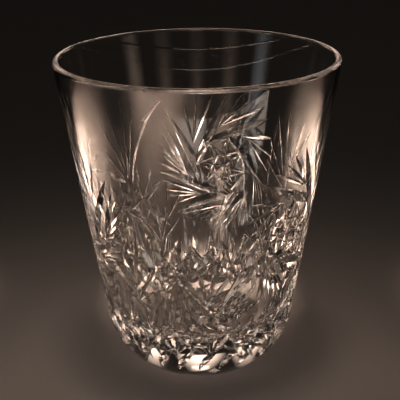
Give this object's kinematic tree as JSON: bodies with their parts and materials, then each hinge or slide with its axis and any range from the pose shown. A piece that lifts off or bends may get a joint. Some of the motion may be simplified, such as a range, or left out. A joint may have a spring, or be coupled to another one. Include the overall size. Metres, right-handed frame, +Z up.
{
  "type": "whiskey tumbler",
  "caption": "Cut-crystal whiskey tumbler: thick tapered wall with whirling star pinwheels and fans, rounded heavy heel, star-cut base.",
  "frame": {"origin": "centre of the underside, on the plane that the tumbler rests on", "axes": "+Z up along the tumbler's axis of revolution, +Y from the axis towards the middle of one pinwheel star"},
  "size_m": [0.082, 0.082, 0.093],
  "materials": {
    "clear_crystal": "polished clear lead crystal with polished V-cut mitres"
  },
  "bodies": {
    "root": {"tumbler": "clear_crystal"}
  },
  "joints": []
}
